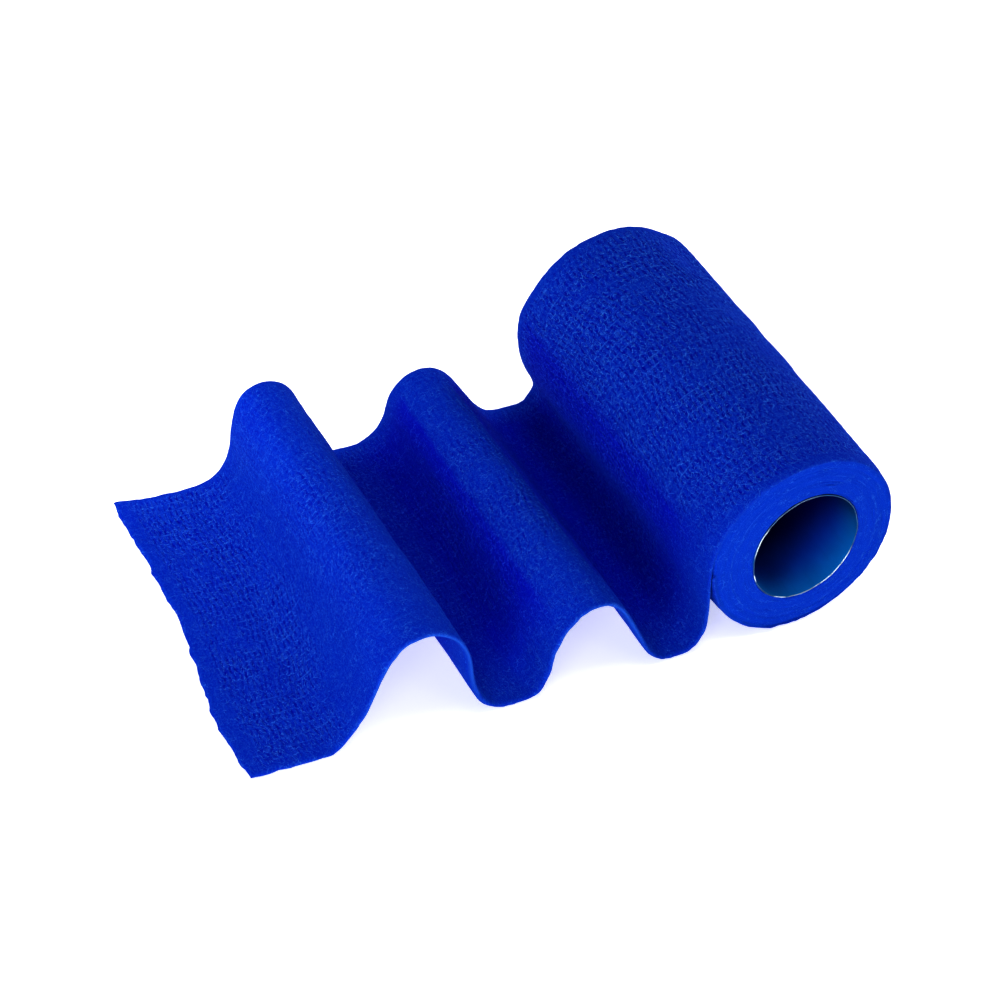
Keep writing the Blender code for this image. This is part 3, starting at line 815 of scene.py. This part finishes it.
# ------------------------------------------------------------------ loose end
def loose_end():
    """One closed sheet: a fine top, a coarser underside, shared cut sides."""
    n_top = (NA + 1) * NW
    top_id = np.arange(n_top).reshape(NA + 1, NW)
    points = [to_world(grid_x[:NA + 1], grid_y[:NA + 1], grid_z[:NA + 1])]
    uv = [np.stack([U[:NA + 1], V[:NA + 1]], -1).reshape(-1, 2) / 100.0]
    edge = [MARKS[:NA + 1].reshape(-1, 6)]

    # top: quads seen from above
    a = top_id[:-1, :-1].ravel()
    quads = np.stack([a, top_id[1:, :-1].ravel(), top_id[1:, 1:].ravel(), top_id[:-1, 1:].ravel()], -1)
    faces = list(quads)

    # underside nodes: every fourth, except where they are the top's own
    I, K = np.arange(0, NA + 1, 4), np.arange(0, NW, 4)
    low_id = np.full((len(I), len(K)), -1)
    extra_p, extra_uv, extra_e, count = [], [], [], n_top
    for a_, i in enumerate(I):
        for b_, k in enumerate(K):
            if i == 0 or k == 0 or k == NW - 1:
                low_id[a_, b_] = top_id[i, k]
            else:
                extra_p.append((low_x[i, k], low_y[i, k], low_z[i, k]))
                extra_uv.append((U[i, k] / 100.0 + 3.0, V[i, k] / 100.0))
                extra_e.append(MARKS[i, k])
                low_id[a_, b_] = count
                count += 1
    extra_p = np.array(extra_p)
    points.append(to_world(extra_p[:, 0], extra_p[:, 1], extra_p[:, 2]))
    uv.append(np.array(extra_uv))
    edge.append(np.array(extra_e))

    for a_ in range(len(I) - 1):
        for b_ in range(len(K) - 1):
            i0, i1, k0, k1 = I[a_], I[a_ + 1], K[b_], K[b_ + 1]
            # round the cell from (i0, k0) across, along, back: seen from below
            side0 = top_id[i0, k0:k1].tolist() if i0 == 0 else [low_id[a_, b_]]
            far = top_id[i0:i1, k1].tolist() if k1 == NW - 1 else [low_id[a_, b_ + 1]]
            last = [low_id[a_ + 1, b_ + 1]]
            near = top_id[i1:i0:-1, k0].tolist() if k0 == 0 else [low_id[a_ + 1, b_]]
            faces.append(side0 + far + last + near)
    # the end that lies in the roll
    for b_ in range(len(K) - 1):
        k0, k1 = K[b_], K[b_ + 1]
        ring = top_id[NA, k0:k1 + 1].tolist()
        back = [low_id[-1, b_ + 1], low_id[-1, b_]]
        if k1 == NW - 1:
            back = back[1:]
        if k0 == 0:
            back = back[:-1]
        faces.append(ring + back)

    global fixed_normals_loops
    fixed_normals_loops = 4 * len(quads)
    seam = top_id[NA]
    return build("loose_end", np.vstack(points), faces, np.vstack(uv), np.vstack(edge),
                 [MAT_CLOTH], np.zeros(len(faces)), (seam, N1[NA]))


# ----------------------------------------------------------------- wound roll
def wound_roll():
    gx, gy, gz = grid_x[NA:], grid_y[NA:], grid_z[NA:]
    uu, vv = U[NA:], V[NA:]
    ids = np.arange((NR + 1) * NW).reshape(NR + 1, NW)
    points = [to_world(gx, gy, gz)]
    uv = [np.stack([uu, vv], -1).reshape(-1, 2) / 100.0]
    edge = [MARKS[NA:].reshape(-1, 6)]
    count = ids.size
    a = ids[:-1, :-1].ravel()
    quads = np.stack([a, ids[1:, :-1].ravel(), ids[1:, 1:].ravel(), ids[:-1, 1:].ravel()], -1)
    faces = list(quads)
    kinds = [0] * len(faces)

    last = 2 * TURNS + 1                       # ring number of the hole
    ring_ids = []
    for face, k in ((0, 0), (1, NW - 1)):
        wk = w[k]
        radius = ROLL_RADIUS - float(draw_in(np.array([wk]))[0])
        pitch = (radius - TURN - GAP - MOUTH_R) / TURNS
        rho = [radius - 0.5 * TURN, radius - 0.5 * (2 * TURN + GAP)]
        for q in range(1, TURNS + 1):
            outer = radius - TURN - GAP - (q - 1) * pitch
            rho += [outer - 0.5 * TURN, outer - pitch]
        rho = np.array(rho[:last] + [MOUTH_R])
        follow = np.concatenate([rho[2:], [MOUTH_R, MOUTH_R]])
        t = np.arange(NR) / NR
        ang = np.radians(theta[:NR, k])
        rid = np.full((NR + 1, last + 1), -1)
        rid[:, 0] = ids[:, k]
        pts, uvs = [], []
        for q in range(1, last + 1):
            r = rho[q] + (follow[q] - rho[q]) * t
            f = np.clip((radius - r) / (radius - MOUTH_R), 0, 1)
            part = f if face == 0 else 0.0
            cx = ROLL_X + (CORE_X - ROLL_X) * f + MOUTH_X * part
            cz = ROLL_Z - CORE_DROP * f - MOUTH_DROP * part
            arc = ang * 20.0
            turn_no = (q + 2 * t) / 2.0
            ridge = q % 2 == 0
            depth = 0.0 if ridge else 0.13 + 0.09 * noise(arc / 9.0, turn_no * 5.0, 91)
            if q == 1:                          # the slit runs on a little past the peel
                depth = depth + 1.1 * np.exp(-t * 360.0 / 9.0)
            if q == last:
                depth = 0.25 + 0.05 * noise(arc / 3.0, turn_no, 92)
            lean = 0.11 * noise(arc / 14.0, turn_no * 1.3, 93) + 0.06 * noise(arc / 3.0, turn_no * 3.0, 94)
            sink = depth - lean * min(1.0, q / 4.0) * (1.0 if q < last else 0.0)
            r = r + (0.07 * noise(arc / 6.0, turn_no * 2.0, 95) if 1 < q < last else 0.0)
            r = r * (1.0 - MOUTH_OVAL * part * np.cos(2 * ang))
            y = sink - slipped(np.degrees(ang)) * math.exp(-q / 4.0) if face == 0 else WIDTH - sink
            pts.append(to_world(cx + r * np.cos(ang), y, cz + r * np.sin(ang)))
            uvs.append(np.stack([arc / 100.0, turn_no / 100.0 + 0 * arc], -1))
            rid[:NR, q] = count + np.arange(NR)
            count += NR
        for q in range(0, last + 1):            # the end of a turn is the start of the next
            target = rid[0, min(q + 2, last)]
            if q == 0:
                continue
            rid[NR, q] = target
        points += pts
        uv += uvs
        edge += [np.tile((1.0, 0.0, 0.0, 0.0, 0.0, 0.0), (NR, 1)) for _ in pts]
        ring_ids.append((rid, rho))

    # ring 2 at the start is the outer row at the end: use the outer row's points
    remap = np.arange(count)
    for rid, k in ((ring_ids[0][0], 0), (ring_ids[1][0], NW - 1)):
        remap[rid[0, 2]] = ids[NR, k]
    for f_no, k in ((0, 0), (1, NW - 1)):
        rid = ring_ids[f_no][0]
        rid[:] = remap[rid]
        for q in range(last):
            A, B, C, D = rid[:-1, q], rid[:-1, q + 1], rid[1:, q + 1], rid[1:, q]
            block = np.stack([A, B, C, D] if f_no == 0 else [A, D, C, B], -1)
            for row in block:
                r_ = list(dict.fromkeys(row.tolist()))
                if len(r_) > 2:
                    faces.append(r_)
                    kinds.append(1)

    # the hole, behind the tube: narrow at its mouths, then clear of the tube
    hole = ((0.010, MOUTH_R + 0.10), (0.020, HOLE_R), (0.2, HOLE_R), (0.4, HOLE_R), (0.6, HOLE_R),
            (0.8, HOLE_R), (0.980, HOLE_R), (0.990, MOUTH_R + 0.10))
    steps = len(hole) + 1
    near, far = ring_ids[0][0][:, last], ring_ids[1][0][:, last]
    prev = near
    for s_ in range(1, steps + 1):
        if s_ < steps:
            f, hole_r = hole[s_ - 1]
            ang = np.radians(theta[:NR, 0] * (1 - f) + theta[:NR, -1] * f)
            m_ = float(mouth(WIDTH * f))
            r = hole_r * (1.0 - MOUTH_OVAL * m_ * np.cos(2 * ang))
            points.append(to_world(CORE_X + MOUTH_X * m_ + r * np.cos(ang), WIDTH * f + 0 * ang,
                                   ROLL_Z - CORE_DROP - MOUTH_DROP * m_ + r * np.sin(ang)))
            uv.append(np.stack([ang * 0.16, 0 * ang + f], -1))
            edge.append(np.tile((1.0, 0.0, 0.0, 0.0, 0.0, 0.0), (NR, 1)))
            cur = np.append(count + np.arange(NR), count)
            count += NR
        else:
            cur = far
        for j in range(NR):
            faces.append([prev[j], cur[j], cur[j + 1], prev[j + 1]])
            kinds.append(1)
        prev = cur

    # the step under the peel: wall from the outer turn's start to its end
    slit_near, slit_far = ring_ids[0][0][0, 1], ring_ids[1][0][0, 1]
    for k in range(NW - 1):
        f = [ids[0, k], ids[0, k + 1]]
        if k == NW - 2:
            f.append(slit_far)
        f += [ids[NR, k + 1], ids[NR, k]]
        if k == 0:
            f.append(slit_near)
        faces.append(f)
        kinds.append(0)

    # drop the two replaced points
    all_points = np.vstack(points)
    all_uv, all_edge = np.vstack(uv), np.vstack(edge)
    used = np.zeros(len(all_points), bool)
    used[np.concatenate([np.asarray(f) for f in faces])] = True
    new = np.cumsum(used) - 1
    faces = [new[np.asarray(f)] for f in faces]

    global fixed_normals_loops
    fixed_normals_loops = 4 * len(quads)
    seam = new[ids[0]]
    return build("wound_roll", all_points[used], faces, all_uv[used], all_edge[used],
                 [MAT_CLOTH, MAT_EDGE], kinds, (seam, N1[NA]))


# ----------------------------------------------------------------------- core
def core_tube():
    """The tube: its outer corners slope in to a thin rounded rim, and it is very
    slightly out of round."""
    around = 240
    inner_r, outer_r = CORE_BORE_R, CORE_BORE_R + CORE_WALL
    y0, y1 = -0.10, WIDTH + 0.10
    half = 0.15                                  # half the rim's thickness
    near = [(inner_r + half + half * math.sin(a_), y0 + half * (1 - math.cos(a_)))
            for a_ in np.radians(np.linspace(-90, 90, 9))]
    slope = [(inner_r + 2 * half + 0.05, y0 + 0.9), (outer_r - 0.12, y0 + 1.9), (outer_r, y0 + 2.4)]
    lengthwise = np.sort(np.append(np.linspace(y0 + 3.0, y1 - 3.0, 12), MOUTH_END))
    outside = [(outer_r, yy) for yy in lengthwise]
    inside = [(inner_r, yy) for yy in np.concatenate([[y1 - 1.2], lengthwise[::-1], [y0 + 1.2]])]
    prof = near + slope + outside
    prof += [(r, y1 - (yy - y0)) for r, yy in reversed(near + slope)] + inside
    rim_rows = 8
    n_first = len(near) + len(slope) + len(outside) + len(slope)
    prof = np.array(prof)
    ang = np.linspace(0, 2 * math.pi, around, endpoint=False)
    R, A = prof[:, 0][:, None], ang[None, :]
    Y = np.repeat(prof[:, 1][:, None], around, 1)
    near_rim = np.exp(-np.abs(Y - y0) / 1.2)
    r = R + 0.04 * noise(A * 3.0 + 0 * R, Y / 30.0, 101) + 0.03 * near_rim * noise(A * 14.0 + 0 * R, Y * 0, 102)
    m_ = mouth(Y)
    r = r * (1.0 - MOUTH_OVAL * m_ * np.cos(2 * A))
    x = CORE_X + MOUTH_X * m_ + r * np.cos(A)
    z = ROLL_Z - CORE_DROP - MOUTH_DROP * m_ + r * np.sin(A)
    Y = Y + 0.08 * near_rim * noise(A * 11.0 + 0 * R, Y * 0, 103)
    n = len(prof)
    ids = np.arange(n * around).reshape(n, around)
    faces, kinds = [], []
    for i in range(n):
        i2 = (i + 1) % n
        cut = i < rim_rows or n_first <= i < n_first + rim_rows
        for j in range(around):
            j2 = (j + 1) % around
            faces.append([ids[i, j], ids[i, j2], ids[i2, j2], ids[i2, j]])
            kinds.append(1 if cut else 0)
    uvs = np.stack([A * 0.16 + 0 * R, Y / 100.0], -1).reshape(-1, 2)
    return build("core_tube", to_world(x, Y, z), faces, uvs, np.zeros((n * around, 6)), [MAT_CORE, MAT_RIM], kinds)


fixed_normals_loops = 0
loose = loose_end()
roll = wound_roll()
core = core_tube()

for piece, node, slot in ((loose, "bandage", "cloth"), (roll, "bandage", "cloth"), (core, "core", "core")):
    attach(piece, "root")
    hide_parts(node)

# ------------------------------------------------------------ floor and lights
floor_mesh = bpy.data.meshes.new("floor")
floor_mesh.from_pydata([(-3, -3, 0), (3, -3, 0), (3, 3, 0), (-3, 3, 0)], [], [(0, 1, 2, 3)])
floor = bpy.data.objects.new("floor", floor_mesh)
bpy.context.scene.collection.objects.link(floor)
floor.location.z = -0.0001
fm = bpy.data.materials.new("floor_pale")
fm.use_nodes = True
fm.node_tree.nodes["Principled BSDF"].inputs["Base Color"].default_value = (0.86, 0.86, 0.86, 1.0)
fm.node_tree.nodes["Principled BSDF"].inputs["Roughness"].default_value = 0.9
fm.node_tree.nodes["Principled BSDF"].inputs["Specular IOR Level"].default_value = 0.1
fm.node_tree.nodes["Principled BSDF"].inputs["Emission Color"].default_value = (1.0, 1.0, 1.0, 1.0)
fm.node_tree.nodes["Principled BSDF"].inputs["Emission Strength"].default_value = 0.60
floor_mesh.materials.append(fm)


MIDDLE, FAR_CREST = (0.0, 0.0, 0.015), (-0.048, 0.05, 0.022)


def area_light(name, direction, distance, size, power, aim=MIDDLE):
    """A square soft light aimed at a point. direction is its azimuth, 0 in front
    and -90 at the cut end, and its height above the floor, in degrees."""
    a, e = math.radians(direction[0]), math.radians(direction[1])
    d = Vector((math.sin(a) * math.cos(e), -math.cos(a) * math.cos(e), math.sin(e)))
    data = bpy.data.lights.new(name, "AREA")
    data.shape, data.size, data.energy = "SQUARE", size, power
    obj = bpy.data.objects.new(name, data)
    obj.location = Vector(aim) + d * distance
    obj.rotation_mode = "QUATERNION"
    obj.rotation_quaternion = d.to_track_quat("Z", "Y")
    bpy.context.scene.collection.objects.link(obj)
    return obj


area_light("key", (-40, 16), 0.45, 0.22, 1.42)
area_light("far_crest", (-115, 40), 0.13, 0.08, 0.15, FAR_CREST)
area_light("front", (20, 38), 1.0, 0.40, 0.91)
area_light("front_right", (60, 16), 1.0, 0.40, 1.20)
area_light("right", (110, 16), 1.0, 0.40, 4.61)
area_light("top", (0, 85), 1.0, 0.40, 3.89)
area_light("back_right", (150, 38), 1.0, 0.40, 1.39)

world = bpy.data.worlds.new("studio")
bpy.context.scene.world = world
world.use_nodes = True
world.node_tree.nodes["Background"].inputs["Color"].default_value = (1.0, 1.0, 1.0, 1.0)
world.node_tree.nodes["Background"].inputs["Strength"].default_value = 0.12

# --------------------------------------------------------------------- camera
AZ, EL, TILT = math.radians(-32.46), math.radians(39.95), math.radians(7.29)
back = Vector((math.sin(AZ) * math.cos(EL), -math.cos(AZ) * math.cos(EL), math.sin(EL)))
right = Vector((math.cos(AZ), math.sin(AZ), 0.0))
up = back.cross(right)
right2 = math.cos(TILT) * right + math.sin(TILT) * up
up2 = -math.sin(TILT) * right + math.cos(TILT) * up
target = Vector((0.003878, 0.000262, 0.017702))
cam_data = bpy.data.cameras.new("camera")
cam_data.sensor_width = 36.0
cam_data.lens = 4157.0 * 36.0 / 1000.0
cam_data.clip_start, cam_data.clip_end = 0.05, 20.0
camera = bpy.data.objects.new("camera", cam_data)
turn = Matrix((right2, up2, back)).transposed()
camera.matrix_world = Matrix.Translation(target + back * 1.0315) @ turn.to_4x4()
bpy.context.scene.collection.objects.link(camera)
bpy.context.scene.camera = camera

view = bpy.context.scene.view_settings
view.view_transform = "Standard"
view.look = "None"
view.exposure = 0.0
view.gamma = 1.0 / 1.4
